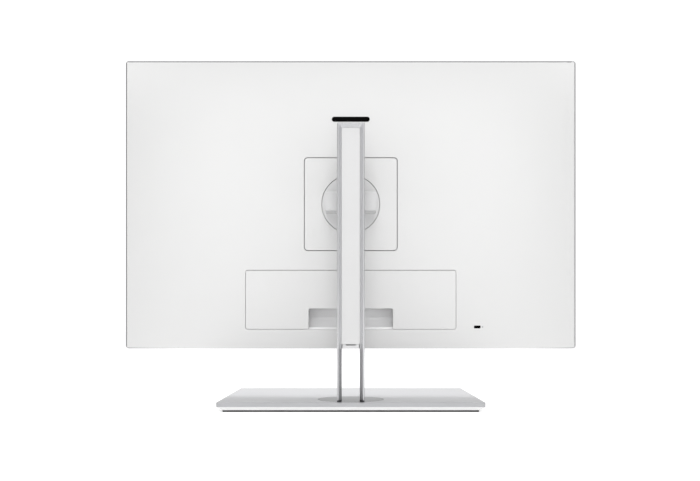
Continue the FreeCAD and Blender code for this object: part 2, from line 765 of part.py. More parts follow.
def make_hinge_arm():
    """The arm from the carriage through the slot to the hinge barrel, and its screws."""
    axis = ("tilt_back", "head_high")
    flange_front = f"{COLUMN_FRONT} + 1 + front_plate_thick + 0.4"
    barrel = rod("x", "barrel_radius", "-barrel_wide / 2", "barrel_wide / 2", axis)
    neck = block(
        ("-arm_wide / 2", "arm_wide / 2"),
        ("tilt_back", "carriage_front"),
        ("head_high - arm_high / 2", "head_high + arm_high / 2 - 1.5"),
    )
    flange = block(
        ("-carriage_wide / 2 + 0.3", "carriage_wide / 2 - 0.3"),
        (flange_front, "carriage_front"),
        ("head_high - 24", "head_high + carriage_up"),
    )
    bore = rod("x", "axle_radius + running", "-barrel_wide", "barrel_wide", axis)
    holes = [rod("y", "1.25", flange_front, "carriage_front + 1", place) for place in ARM_SCREWS]
    cut(fuse([barrel, neck, flange]), [bore] + holes, "hinge_arm")
    head, tip = f"{flange_front} + 0.1", "carriage_front + 6"
    group([rod("y", "1.25", head, tip, place) for place in ARM_SCREWS], "arm_screws")


# ---------------------------------------------------------------- tilt and pivot head


def make_tilt_head():
    """Knuckles either side of the barrel on a round disc that turns in the mount plate."""
    axis = ("tilt_back", "head_high")
    disc_back = "cover_back - 0.4"
    pieces = [
        rod("y", "pivot_radius", "ledge + 0.1", disc_back, ("0", "head_high")),
        rod("y", "pivot_hub", "plate_front", "ledge + 0.1", ("0", "head_high")),
    ]
    inner, outer = "barrel_wide / 2 + knuckle_gap", "knuckle_wide / 2"
    half = "knuckle_high / 2"
    for side, low in (("left", f"-({outer})"), ("right", inner)):
        owner = body(f"knuckle_{side}")
        outline = sketch(owner, "yz", low)
        rectangle(
            outline,
            ("ledge + 1", "tilt_back + knuckle_back"),
            (f"head_high - {half}", f"head_high + {half}"),
            corner="knuckle_edge",
        )
        pad(owner, outline, f"{outer} - ({inner})")
        pieces.append(owner)
    bore = rod("x", "axle_radius", "-knuckle_wide", "knuckle_wide", axis)
    holes = [rod("y", "1.25", "0", "ledge", place) for place in PIVOT_SCREWS]
    cut(fuse(pieces), [bore] + holes, "tilt_head")
    rod("x", "axle_radius", "0.6 - knuckle_wide / 2", "knuckle_wide / 2 - 0.6", axis, "tilt_axle")
    washers = [
        ring("x", "8.5", "axle_radius + 0.3", low, f"{low} + knuckle_gap - 0.05", axis)
        for low in ("barrel_wide / 2", "0.05 - barrel_wide / 2 - knuckle_gap")
    ]
    group(washers, "friction_washers")


def make_pivot_retainer():
    """The plate inside the computer that keeps the pivot disc in the mount plate."""
    low, high = "plate_front - 2.4", "plate_front - 0.1"
    plate = rod("y", "pivot_hub + 6", low, high, ("0", "head_high"))
    cut(plate, [rod("y", "1.3", "-10", "20", place) for place in PIVOT_SCREWS], "pivot_retainer")
    screws = []
    for place in PIVOT_SCREWS:
        shank = rod("y", "1.2", low, "ledge - 0.2", place)
        screws.append(fuse([shank, rod("y", "2.4", f"{low} - 1.6", low, place)]))
    group(screws, "pivot_screws")


def make_mount_plate():
    """The square plate on the computer's back, let in flush, stepped for the pivot disc."""
    owner = body("mount_plate")
    half = "plate_wide / 2"
    z = (f"head_high - {half}", f"head_high + {half}")
    outline = sketch(owner, "xz", "cover_back")
    rectangle(outline, (f"-{half}", half), z, corner="plate_corner")
    base = pad(owner, outline, "cover_back - plate_front")
    back = mm("cover_back")
    chamfer(owner, base, lambda p, run: near(p.y, back), "0.4")
    wide = sketch(owner, "xz", "cover_back + 1")
    circle(wide, "0", "head_high", "pivot_radius + pivot_gap")
    pocket(owner, wide, "cover_back + 1 - ledge")
    through = sketch(owner, "xz", "cover_back + 1")
    circle(through, "0", "head_high", "pivot_hub + running")
    pocket(owner, through, "cover_back + 2 - plate_front")


# ---------------------------------------------------------------- rear shell of the computer


def bulge(x, z):
    """How much of the full depth the rear cover has at a point, from 0 at its rim to 1."""
    power = mm("bulge_power")
    side = mm("pc_wide") / 2 - mm("cover_inset") - abs(x)
    top = mm("pc_low") + mm("pc_high") - mm("cover_inset") - z
    low = z - mm("pc_low") - mm("cover_inset_low")
    part = 1 - max(0.0, 1 - max(0.0, side) / mm("bulge_side")) ** power
    part *= 1 - max(0.0, 1 - max(0.0, top) / mm("bulge_top")) ** power
    return part * (1 - mm("bulge_low_part") * max(0.0, 1 - max(0.0, low) / mm("bulge_low")) ** 2)


def pillow(drop, inset):
    """A solid from the frame's rear face back to the bulged surface.

    drop lowers that surface, and inset draws the outline in, for the shell's inside.
    """
    front = mm("frame_back")
    edge, full = mm("cover_edge"), mm("cover_back") - front
    half = mm("pc_wide") / 2 - mm("cover_inset") - inset
    low = mm("pc_low") + mm("cover_inset_low") + inset
    high = mm("pc_low") + mm("pc_high") - mm("cover_inset") - inset
    columns, rows = 37, 29
    grid = []
    for i in range(columns):
        x = half * math.sin(math.pi / 2 * (2 * i / (columns - 1) - 1))
        line = []
        for j in range(rows):
            z = (low + high) / 2 - (high - low) / 2 * math.cos(math.pi * j / (rows - 1))
            line.append(Vector(x, front + edge + (full - edge) * bulge(x, z) - drop, z))
        grid.append(line)
    surface = Part.BSplineSurface()
    surface.interpolate(grid)
    deep = surface.toShape().extrude(Vector(0, -2 * full, 0))
    keep = Part.makeBox(2 * half + 10, full + 10, high - low + 10, Vector(-half - 5, front, low - 5))
    thing = fresh("Part::Feature")
    thing.Shape = deep.common(keep)
    return thing


def prism(x, z, corner):
    """A rounded rectangle in X and Z, run right through the computer along Y."""
    owner = body(f"prism_{scratch}")
    outline = sketch(owner, "xz", "cover_back + 20")
    rectangle(outline, x, z, corner=corner)
    pad(owner, outline, "cover_back + 20 - frame_back")
    return owner


def port_outline(gap):
    return prism(
        (f"-port_wide / 2 + ({gap})", f"port_wide / 2 - ({gap})"),
        (f"port_low + ({gap})", f"{PORT_TOP} - ({gap})"),
        f"port_corner - ({gap})",
    )


def make_rear_cover(outside):
    """The white shell: bulged, with openings for the mount plate, the ports and the lock."""
    shell = cut(outside, [pillow(mm("cover_wall"), mm("cover_wall"))])
    half = "plate_wide / 2 + plate_gap"
    z = (f"head_high - ({half})", f"head_high + {half}")
    openings = [
        prism((f"-({half})", half), z, "plate_corner + plate_gap"),
        port_outline("0"),
        slot_prism("0"),
        rod("y", "0.9", "frame_back", "cover_back + 5", ("lock_side - 6.2", "lock_high")),
    ]
    y, z = ("frame_back + 6", "cover_back - 14"), ("pc_low", "pc_low + 5")
    slots = [block((f"{x} - 1.5", f"{x} + 1.5"), y, z) for x in range(-147, 148, 7)]
    bosses = [
        block(
            (f"{side} * (port_wide / 2 + 2) - 2", f"{side} * (port_wide / 2 + 2) + 2"),
            ("hinge_back - 2.6", "hinge_back + 0.4"),
            (f"{PORT_TOP} - hinge_down - 2.6", f"{PORT_TOP} - hinge_down + 2.6"),
        )
        for side in (-1, 1)
    ]
    reach = "port_wide / 2 + 2.4"
    bore = rod("x", "hinge_pin + running", f"-({reach})", reach, HINGE)
    cut(fuse([cut(shell, openings + slots)] + bosses), [bore], "rear_cover")


def make_port_cover(outside):
    """The cover over the ports: it follows the bulge and has a notch for the cables."""
    skin = cut(common(outside, port_outline("port_gap")), [pillow(mm("port_thick"), 0)])
    notch = prism(("-notch_wide / 2", "notch_wide / 2"), ("port_low - 10", "port_low + notch_high"), "2.5")
    top_edge = block(("-port_wide", "port_wide"), ("0", "0.9"), ("0", "0.9"))
    top_edge.Placement = Placement(Vector(0, 0, 0), Rotation(Vector(1, 0, 0), 45))
    bind(top_edge, "Placement.Base.x", "-port_wide")
    bind(top_edge, "Placement.Base.y", "cover_back")
    bind(top_edge, "Placement.Base.z", f"{PORT_TOP} - port_gap - 0.64")
    hinges = []
    for side in (-1, 1):
        end, tip = "port_wide / 2 - port_gap - 1.2", "port_wide / 2 + 2.2"
        spans = (f"{end} - 6", end), (f"{end} - 1", tip)
        if side < 0:
            spans = tuple((f"-({high})", f"-({low})") for low, high in spans)
        hinges.append(rod("x", "hinge_pin + 0.3", *spans[0], HINGE))
        hinges.append(rod("x", "hinge_pin", *spans[1], HINGE))
    fuse([cut(skin, [notch, top_edge])] + hinges, "port_cover")


SOCKETS = {
    # name: (middle across X, width across X, depth along Y)
    "power": (95, 28, 20.5),
    "display_a": (62, 19, 7.5),
    "display_b": (36, 19, 7.5),
    "network": (10, 17, 14),
    "usb_a": (-18, 15, 7.5),
    "usb_b": (-40, 15, 7.5),
    "usb_c": (-62, 15, 7.5),
    "usb_d": (-84, 15, 7.5),
}


def socket_box(name, grow, low, high):
    """The space of one socket, grown each way, between two heights."""
    middle, wide, deep = SOCKETS[name]
    front = "bay_front + 1.8"
    return block(
        (f"{middle - wide / 2} - ({grow})", f"{middle + wide / 2} + ({grow})"),
        (f"{front} - ({grow})", f"{front} + {deep} + ({grow})"),
        (low, high),
    )


def make_port_bay():
    """The recess behind the port cover, with holes in its roof for the sockets."""
    half, low = "port_wide / 2 - 0.1", "port_low + 0.1"
    roof = f"{PORT_TOP} - 0.1"
    outer = block((f"-({half})", half), ("bay_front - bay_wall", "cover_back"), (low, roof))
    follows = common(outer, pillow(mm("cover_wall") + 1.6, mm("cover_wall") + 0.15))
    hollow = block(
        ("-port_wide / 2 + bay_inset", "port_wide / 2 - bay_inset"),
        ("bay_front", "cover_back + 1"),
        ("port_low + bay_inset", f"{PORT_TOP} - bay_inset"),
    )
    holes = [socket_box(name, "0", f"{PORT_TOP} - bay_inset - 1", f"{roof} + 1") for name in SOCKETS]
    ribs = [
        block(
            ("-port_wide / 2 + bay_inset", "port_wide / 2 - bay_inset"),
            ("bay_front - 0.1", "bay_front + 1.2"),
            (f"port_low + {up}", f"port_low + {up} + 1.2"),
        )
        for up in (14, 30)
    ]
    fuse([cut(follows, [hollow] + holes)] + ribs, "port_bay")


def make_sockets():
    """The sockets that open downwards into the port bay."""
    mouth = f"{PORT_TOP} - bay_inset"
    top = f"{mouth} + 15"

    def shell(name, wall, tongue):
        hollow = socket_box(name, f"-{wall}", f"{mouth} - 1", f"{mouth} + 12")
        case = cut(socket_box(name, "0", mouth, top), [hollow])
        if not tongue:
            return case
        middle, wide, _ = SOCKETS[name]
        reach = wide / 2 - wall - 1
        blade = block(
            (f"{middle - reach}", f"{middle + reach}"),
            ("bay_front + 4.6", "bay_front + 6.4"),
            (f"{mouth} + 1.5", f"{mouth} + 12.5"),
        )
        return fuse([case, blade])

    group([shell(n, 0.6, True) for n in SOCKETS if n.startswith("usb")], "usb_sockets")
    group([shell(n, 0.6, True) for n in SOCKETS if n.startswith("display")], "display_sockets")
    middle = SOCKETS["network"][0]
    hollow = block(
        (f"{middle - 6.1}", f"{middle + 6.1}"),
        ("bay_front + 3.6", "bay_front + 12.4"),
        (f"{mouth} - 1", f"{mouth} + 12"),
    )
    cut(socket_box("network", "0", mouth, top), [hollow], "network_socket")
    middle = SOCKETS["power"][0]
    hollow = prism_up(middle, "bay_front + 12.05", 24.4, 16.6, f"{mouth} - 1", "14")
    pins = [
        block(
            (f"{middle + side * 7} - 1", f"{middle + side * 7} + 1"),
            (f"bay_front + {12.05 + shift} - 2.2", f"bay_front + {12.05 + shift} + 2.2"),
            (f"{mouth} + 2", f"{mouth} + 14"),
        )
        for side, shift in ((-1, -1.5), (0, 2.5), (1, -1.5))
    ]
    fuse([cut(socket_box("power", "0", mouth, top), [hollow])] + pins, "power_inlet")


def prism_up(x, y, wide, deep, low, high):
    """A rounded rectangle in X and Y, run upwards."""
    owner = body(f"prism_{scratch}")
    outline = sketch(owner, "xy", low)
    rectangle(
        outline,
        (f"{x - wide / 2}", f"{x + wide / 2}"),
        (f"{y} - {deep / 2}", f"{y} + {deep / 2}"),
        corner="2.5",
    )
    pad(owner, outline, high)
    return owner


def slot_prism(inset):
    """The lock slot's outline drawn in by an inset, run right through along Y."""
    return prism(
        (f"lock_side - lock_wide / 2 + {inset}", f"lock_side + lock_wide / 2 - {inset}"),
        (f"lock_high - lock_tall / 2 + {inset}", f"lock_high + lock_tall / 2 - {inset}"),
        f"0.9 - {inset}",
    )


def make_rear_details():
    """The lock's steel plate, the status light and a plain badge let into the cover."""
    z = ("lock_high - 6", "lock_high + 6")
    around = ("lock_side - 20", "lock_side + 20")
    plate = block(("lock_side - 5.2", "lock_side + 5.2"), ("5.2", "9"), z)
    behind = block(around, ("8.8", "cover_back"), z)
    rim = common(common(slot_prism("0.05"), behind), pillow(0.15, 0))
    hollow = cut(slot_prism("lock_rim"), [block(around, ("frame_back - 1", "6"), z)])
    cut(fuse([plate, rim]), [hollow], "lock_plate")
    light = rod("y", "0.85", "8.6", "cover_back", ("lock_side - 6.2", "lock_high"))
    common(light, pillow(0.15, 0), "status_light")
    outline = prism(
        ("-badge_wide / 2", "badge_wide / 2"),
        ("badge_high - badge_tall / 2", "badge_high + badge_tall / 2"),
        "badge_tall / 2 - 0.1",
    )
    cut(common(pillow(-0.35, 0), outline), [pillow(0, 0)], "rear_badge")


# ---------------------------------------------------------------- frame, bezel and display


def make_frame():
    """The silver frame round the computer: an upright wall and an inward rear flange."""
    owner = body("side_frame")
    outline = sketch(owner, "xz", "frame_back")
    rectangle(outline, ("-pc_wide / 2", "pc_wide / 2"), ("pc_low", PC_TOP), corner="pc_corner")
    base = pad(owner, outline, f"frame_back - ({FRAME_FRONT})")
    back = mm("frame_back")
    chamfer(owner, base, lambda p, run: near(p.y, back), "0.5")
    hollow = sketch(owner, "xz", "frame_back - flange_thick")
    rectangle(
        hollow,
        ("frame_wall - pc_wide / 2", "pc_wide / 2 - frame_wall"),
        ("pc_low + frame_wall", f"{PC_TOP} - frame_wall"),
        corner="pc_corner - frame_wall / 2",
    )
    pocket(owner, hollow, "20")
    window = sketch(owner, "xz", "frame_back + 1")
    rectangle(
        window,
        ("flange_wide - pc_wide / 2", "pc_wide / 2 - flange_wide"),
        ("pc_low + flange_wide", f"{PC_TOP} - flange_wide"),
        corner="2",
    )
    pocket(owner, window, "20")
    side = ("pc_wide / 2 - flange_wide - 1", "pc_wide / 2 + 5")
    reach = "button_long / 2 + button_gap"
    across = "button_wide / 2 + button_gap"
    openings = [
        block(
            side,
            (f"button_back - ({across})", f"button_back + {across}"),
            (f"button_high - ({reach})", f"button_high + {reach}"),
        ),
        block(side, ("button_back - 1.7", "button_back + 1.7"), ("button_high - 19", "button_high - 9.6")),
    ]
    y = (f"{FRAME_FRONT} + 1.6", "frame_back - flange_thick - 1.2")
    z = (f"{PC_TOP} - 5", f"{PC_TOP} + 1")
    vents = [block((f"{x} - 1.6", f"{x} + 1.6"), y, z) for x in range(-238, 239, 7) if abs(x) > 30]
    owner.Label = "frame_blank"
    cut(owner, openings + vents, "side_frame")


def make_bezel():
    """The black front bezel: display window, camera window, speaker opening."""
    owner = body("bezel_blank")
    half = "pc_wide / 2 - bezel_inset"
    z = ("pc_low + bezel_inset", f"{PC_TOP} - bezel_inset")
    outline = sketch(owner, "xz", FRAME_FRONT)
    rectangle(outline, (f"-({half})", half), z, corner="pc_corner")
    base = pad(owner, outline, "bezel_thick")
    front = mm("screen_front")
    chamfer(owner, base, lambda p, run: near(p.y, front), "0.5")
    window = sketch(owner, "xz", f"{FRAME_FRONT} + 1")
    rectangle(window, ("-view_wide / 2", "view_wide / 2"), (f"{VIEW_TOP} - view_high", VIEW_TOP))
    pocket(owner, window, "bezel_thick + 2")
    seat = sketch(owner, "xz", FRAME_FRONT)
    lap = "(display_lap + 0.5)"
    rectangle(
        seat,
        (f"-view_wide / 2 - {lap}", f"view_wide / 2 + {lap}"),
        (f"{VIEW_TOP} - view_high - {lap}", f"{VIEW_TOP} + {lap}"),
    )
    pocket(owner, seat, "bezel_thick - bezel_lip")
    mouth = sketch(owner, "xz", f"{FRAME_FRONT} + 1")
    grille_outline(mouth, "0")
    pocket(owner, mouth, "bezel_thick + 2")
    shutter_seat = ("screen_front + 0.5", f"{FRAME_FRONT} + 1")
    openings = [
        rod("y", "1.7", "screen_front - 1", FRAME_FRONT, ("0", "camera_high")),
        block(("-3.2", "15.4"), shutter_seat, camera_band("2.2")),
        block(("3", "12"), ("screen_front - 1", FRAME_FRONT), camera_band("0.8")),
    ]
    cut(owner, openings, "front_bezel")

    owner = body("speaker_grille")
    cloth = sketch(owner, "xz", "screen_front + 1.8")
    grille_outline(cloth, "0.2")
    pad(owner, cloth, "1.2")


def grille_outline(outline, inset):
    """The long opening for the speakers under the display, drawn in by an inset."""
    half = "grille_wide / 2"
    x = (f"{inset} - {half}", f"{half} - {inset}")
    z = (f"grille_low + {inset}", f"grille_low + grille_high - {inset}")
    rectangle(outline, x, z, corner=f"grille_corner - {inset}")


def camera_band(reach):
    """The heights from a reach below the camera's axis to the same reach above it."""
    return (f"camera_high - {reach}", f"camera_high + {reach}")


def make_display():
    """The liquid-crystal glass and the backlight unit behind it."""
    half = "view_wide / 2 + display_lap"
    z = (f"{VIEW_TOP} - view_high - display_lap", f"{VIEW_TOP} + display_lap")
    glass_back = f"{GLASS_FRONT} + glass_thick"
    block((f"-({half})", half), (GLASS_FRONT, glass_back), z, "display_glass")
    light_back = f"{glass_back} + 0.1 + backlight_thick"
    pan = block((f"-({half})", half), (f"{glass_back} + 0.1", light_back), z)
    rebate = block(
        (f"8 - ({half})", f"{half} - 8"),
        (f"{light_back} - 1.2", f"{light_back} + 1"),
        (f"{z[0]} + 20", f"{z[1]} - 8"),
    )
    cut(pan, [rebate], "backlight_unit")


def make_camera():
    """The camera module behind the bezel, and the sliding privacy shutter in front of its lens."""
    back = f"{FRAME_FRONT} + 1.1"
    board = block(("-16", "16"), (f"{FRAME_FRONT} + 0.1", back), camera_band("1.7"))
    chip = block(("8", "13"), (back, f"{back} + 0.9"), camera_band("1.4"))
    centre = ("0", "camera_high")
    barrel = rod("y", "1.6", f"{FRAME_FRONT} - 1.2", f"{FRAME_FRONT} + 0.2", centre)
    dish = rod("y", "1.1", f"{FRAME_FRONT} - 1.3", f"{FRAME_FRONT} - 0.9", centre)
    cut(fuse([board, chip, barrel]), [dish], "camera_module")
    blade = block(("2.2", "15"), ("screen_front + 0.6", "screen_front + 1.1"), camera_band("2"))
    knob = block(("8.4", "11.6"), ("screen_front - 0.5", "screen_front + 0.6"), camera_band("0.6"))
    fuse([blade, knob], "camera_shutter")


def make_power_button():
    """The power button with its retaining flange, and the small board with its switch."""
    wall_in = "pc_wide / 2 - frame_wall"
    owner = body("power_button")
    cap = sketch(owner, "yz", f"{wall_in} - 1.5")
    half, across = "button_long / 2", "button_wide / 2"
    rectangle(
        cap,
        (f"button_back - {across}", f"button_back + {across}"),
        (f"button_high - {half}", f"button_high + {half}"),
        corner="button_wide / 2 - 0.1",
    )
    base = pad(owner, cap, "frame_wall + 1.5 + button_proud")
    tip = mm("pc_wide") / 2 + mm("button_proud")
    fillet(owner, base, lambda p, run: near(p.x, tip), "0.4")
    flange = sketch(owner, "yz", f"{wall_in} - 1.5")
    rectangle(
        flange,
        ("button_back - 2.7", "button_back + 2.7"),
        (f"button_high - {half} - 1.2", f"button_high + {half} + 1.2"),
    )
    pad(owner, flange, "1.3")
    make_button_board(wall_in)


def make_button_board(wall_in):
    """The small board behind the power button: its switch, and a round-edged data socket below."""

    def band(reach):
        return (f"button_back - {reach}", f"button_back + {reach}")

    board_out = "pc_wide / 2 - 9"
    board = block((f"{board_out} - 4", board_out), band("2.6"), ("button_high - 22", "button_high + 6"))
    switch = block((board_out, f"{wall_in} - 3.6"), band("2"), ("button_high - 3", "button_high + 3"))
    plunger = rod("x", "1", board_out, f"{wall_in} - 2.6", ("button_back", "button_high"))
    case_z = ("button_high - 18.9", "button_high - 9.7")
    hollow_z = ("button_high - 18.5", "button_high - 10.1")
    case = block((f"{board_out} - 0.2", "pc_wide / 2 - 0.3"), band("1.6"), case_z)
    hollow = block((f"{board_out} + 1", "pc_wide / 2 + 1"), band("1.3"), hollow_z)
    tongue_z = ("button_high - 17.6", "button_high - 11")
    tongue = block((f"{board_out} + 0.5", "pc_wide / 2 - 1.5"), band("0.35"), tongue_z)
    fuse([board, switch, plunger, cut(case, [hollow]), tongue], "button_board")


# ---------------------------------------------------------------- inside the computer

BOARD_SCREWS = [(x, z) for x in ("-102", "112") for z in ("168", "322")]
POSTS = [(f"{x}", f"head_high + {z}") for x in (-50, 50) for z in (-50, 50)]


def make_chassis():
    """The steel chassis plate, and the bracket on four posts that carries the mount plate."""
    plate = block(
        ("2.5 - pc_wide / 2", "pc_wide / 2 - 2.5"),
        (CHASSIS_FRONT, CHASSIS_BACK),
        ("pc_low + 2.5", f"{PC_TOP} - 2.5"),
    )
    y = ("screen_front", "board_front")
    speaker_z = ("pc_low + 7", "pc_low + 32")
    gaps = [
        block((f"{side} * speaker_side - 46", f"{side} * speaker_side + 46"), y, speaker_z)
        for side in (-1, 1)
    ]
    gaps.append(block(("19", "45"), y, ("149", "179")))
    gaps.append(block(("257", "280"), y, ("button_high - 23", "button_high + 9")))
    standoffs = [rod("y", "2.5", f"{CHASSIS_BACK} - 0.5", "board_front", place) for place in BOARD_SCREWS]
    fuse([cut(plate, gaps)] + standoffs, "chassis_plate")
    back = "plate_front - 0.1"
    sheet_part = block(("-66", "66"), (f"{back} - 2", back), ("head_high - 66", "head_high + 66"))
    hole = rod("y", "pivot_hub + 8", "-10", "20", ("0", "head_high"))
    posts = [rod("y", "6", CHASSIS_BACK, f"{back} - 1", place) for place in POSTS]
    fuse([cut(sheet_part, [hole])] + posts, "stand_bracket")


def make_board():
    """The system board, bored for the bracket's posts, and what stands on it."""
    board = block(("-110", "120"), ("board_front", BOARD_BACK), (f"{PORT_TOP} + 2.5", "330"))
    holes = [rod("y", "7.5", "-30", "10", place) for place in POSTS]
    low = f"{BOARD_BACK} - 0.2"
    chips = [
        block(("-42", "-4"), (low, f"{BOARD_BACK} + 1.2"), ("230", "268")),
        block(("-38", "-8"), (low, f"{BOARD_BACK} + 2.6"), ("234", "264")),
        block(("76", "98"), (low, f"{BOARD_BACK} + 2.2"), ("292", "322")),
        block(("-100", "-76"), (low, f"{BOARD_BACK} + 1.4"), ("206", "230")),
        rod("y", "10", low, f"{BOARD_BACK} + 3.2", ("-88", "190")),
    ]
    fuse([cut(board, holes)] + chips, "system_board")
    y = (BOARD_BACK, f"{BOARD_BACK} + 4")
    group([block(("40", "107.6"), y, (f"{z}", f"{z + 27}")) for z in (215, 246)], "memory_modules")
    heads = [rod("y", "3", BOARD_BACK, f"{BOARD_BACK} + 1.6", place) for place in BOARD_SCREWS]
    group(heads, "board_screws")


def make_cooling():
    """Cold plate, heat pipe, fin stack, fan housing with its spindle, and the impeller."""
    plate_back = f"{BOARD_BACK} + 5.6"
    block(("-44", "-2"), (f"{BOARD_BACK} + 2.6", plate_back), ("228", "270"), "cold_plate")

    radius = mm("pipe_radius")
    middle = mm("board_front") + mm("board_thick") + 5.65 + radius
    turns = ((-6, 249), (-114, 249), (-114, 346), (-168, 346))
    thing = fresh("Part::Feature", "heat_pipe")
    thing.Shape = bent_tube([Vector(x, middle, z) for x, z in turns], bend=14, radius=radius)

    fins = [block((f"{x}", f"{x + 0.6}"), ("-20", "-7"), ("336", "357")) for x in range(-194, -124, 3)]
    spine = block(("-195", "-123"), ("-20.6", "-20"), ("336", "357"))
    cap = block(("-195", "-123"), ("-7", plate_back), ("336", "357"))
    fuse([spine, cap] + fins, "fin_stack")

    centre = ("fan_side", "fan_high")
    box = block(("fan_side - 36", "fan_side + 38"), ("-24", "-9"), ("fan_high - 36", "fan_high + 44"))
    hollow = [
        rod("y", "fan_radius + 2", "-22.8", "-10.2", centre),
        block(("fan_side - 32", "fan_side + 34"), ("-22.8", "-10.2"), ("fan_high + 10", "fan_high + 50")),
        rod("y", "fan_radius - 7", "-12", "0", centre),
    ]
    fuse([cut(box, hollow), rod("y", "2", "-23", "-12.5", centre)], "fan_housing")

    hub = rod("y", "11", "-22", "-11", centre)
    bore = rod("y", "2 + running", "-30", "0", centre)
    blades = []
    count = 23
    for number in range(count):
        blade = fresh("Part::Box")
        for side, size in (("Length", "fan_radius - 10"), ("Width", "9"), ("Height", "0.8")):
            bind(blade, side, size)
        angle = 360.0 * number / count
        blade.Placement = Placement(Vector(), Rotation(Vector(0, 1, 0), angle))
        along = math.radians(angle)
        bind(blade, "Placement.Base.x", f"fan_side + {9.6 * math.cos(along):.4f}")
        bind(blade, "Placement.Base.y", "-21.5")
        bind(blade, "Placement.Base.z", f"fan_high - {9.6 * math.sin(along):.4f}")
        blades.append(blade)
    rim = ring("y", "fan_radius", "fan_radius - 0.9", "-21.5", "-20.3", centre)
    cut(fuse([hub, rim] + blades), [bore], "fan_impeller")


def bent_tube(corners, bend, radius):
    """A round tube along straight runs joined by tangent arcs of one bend radius."""
    edges = []
    start = corners[0]
    for before, corner, after in zip(corners, corners[1:], corners[2:]):
        inward, outward = (before - corner).normalize(), (after - corner).normalize()
        half = inward.getAngle(outward) / 2
        reach = bend / math.tan(half)
        first, last = corner + inward * reach, corner + outward * reach
        bisector = (inward + outward).normalize()
        middle = corner + bisector * (bend / math.sin(half) - bend)
        edges.append(Part.LineSegment(start, first).toShape())
        edges.append(Part.Arc(first, middle, last).toShape())
        start = last
    edges.append(Part.LineSegment(start, corners[-1]).toShape())
    path = Part.Wire(edges)
    circle_edge = Part.makeCircle(radius, corners[0], (corners[1] - corners[0]).normalize())
    return path.makePipeShell([Part.Wire([circle_edge])], True, True)


def make_storage_and_power():
    """Storage drive, power supply, loudspeakers and the flat display cable."""
    block(("-218", "-148"), ("-28.4", "-21.4"), ("112", "212"), "storage_drive")
    box = block(("131", "211"), ("-28.4", "-7"), ("104", "244"))
    vents = [
        block((f"{x}", f"{x + 3}"), ("-9", "-5"), (f"{z}", f"{z + 26}"))
        for x in range(138, 204, 8)
        for z in (112, 146, 180, 214)
    ]
    cut(box, vents, "power_supply")
    boxes = []
    for side in (-1, 1):
        middle = f"{side} * speaker_side"
        x, y = (f"{middle} - 44", f"{middle} + 44"), (f"{FRAME_FRONT} + 0.3", "-20")
        case = block(x, y, ("pc_low + 8", "pc_low + 31"))
        cones = [
            rod("y", "7", FRAME_FRONT, f"{FRAME_FRONT} + 3", (f"{middle} + {across}", "pc_low + 19.5"))
            for across in (-18, 18)
        ]
        boxes.append(cut(case, cones))
    group(boxes, "loudspeakers")
    owner = body("display_cable")
    outline = sketch(owner, "yz", "20")
    light_back = f"{GLASS_FRONT} + glass_thick + 0.1 + backlight_thick"
    polygon(
        outline,
        [
            (f"{light_back} + 0.05", "150"),
            (f"{light_back} + 0.45", "150"),
            (f"{light_back} + 0.45", "175"),
            ("board_front - 3", "177"),
            ("board_front - 0.05", "177"),
            ("board_front - 0.05", "177.4"),
            ("board_front - 3.1", "177.4"),
            (f"{light_back} + 0.05", "175.4"),
        ],
    )
    pad(owner, outline, "24")


# ---------------------------------------------------------------- build, check and write

make_foot_shell()
make_foot_tray()
make_ballast()
make_foot_pads()
make_swivel()
make_column_frame()
make_column_skins()
make_gaskets()
make_guides()
make_carriage()
make_lift_spring()
make_hinge_arm()
make_tilt_head()
make_pivot_retainer()
make_mount_plate()
cover_blank = pillow(0, 0)
make_rear_cover(cover_blank)
make_port_cover(cover_blank)
make_port_bay()
make_sockets()
make_rear_details()
make_frame()
make_bezel()
make_display()
make_camera()
make_power_button()
make_chassis()
make_board()
make_cooling()
make_storage_and_power()
doc.recompute()

NODES = """
foot_shell foot_tray foot_ballast foot_pads swivel_washer
swivel_disc swivel_retainer swivel_screws column_frame column_insert column_front_plate
column_end_cap column_gaskets guide_rods lift_spring_ribbon
carriage slide_bushes drum_axle hinge_arm arm_screws friction_washers spring_drum
tilt_head tilt_axle pivot_retainer pivot_screws
mount_plate rear_cover rear_badge lock_plate status_light port_cover
port_bay usb_sockets display_sockets network_socket power_inlet
side_frame front_bezel speaker_grille display_glass backlight_unit
camera_module camera_shutter power_button button_board
chassis_plate stand_bracket system_board board_screws memory_modules
cold_plate heat_pipe fin_stack fan_housing fan_impeller
storage_drive power_supply loudspeakers display_cable
""".split()

for thing in doc.Objects:
    if "Invalid" in thing.State or "Error" in thing.State:
        raise ValueError(f"{thing.Name} ({thing.Label}) did not build: {thing.State}")

os.makedirs("parts", exist_ok=True)
for node in NODES:
    thing = doc.getObjectsByLabel(node)[0]
    shape = thing.Shape
    if shape.isNull() or not shape.isValid() or not shape.Solids:
        raise ValueError(f"{node} has no valid solid")
    shape.exportStep(f"parts/{node}.step")
print(f"{len(NODES)} sub-parts written")
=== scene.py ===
import math

import bpy
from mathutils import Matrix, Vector


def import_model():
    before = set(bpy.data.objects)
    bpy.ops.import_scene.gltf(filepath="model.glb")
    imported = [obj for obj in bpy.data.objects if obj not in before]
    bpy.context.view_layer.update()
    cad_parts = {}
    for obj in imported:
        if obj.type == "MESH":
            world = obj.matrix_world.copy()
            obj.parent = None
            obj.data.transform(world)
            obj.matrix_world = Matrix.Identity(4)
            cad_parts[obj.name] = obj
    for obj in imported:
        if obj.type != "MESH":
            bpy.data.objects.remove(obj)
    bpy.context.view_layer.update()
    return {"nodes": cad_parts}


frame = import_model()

nodes = frame["nodes"]
scene = bpy.context.scene

MM = 0.001


# ---------------------------------------------------------------- materials

# the values of the noise between which a finish changes, for its patches and for its grain
PATCH_SPAN, GRAIN_SPAN = (0.35, 0.65), (0.3, 0.7)
PATCH_DETAIL, GRAIN_DETAIL = 4, 3

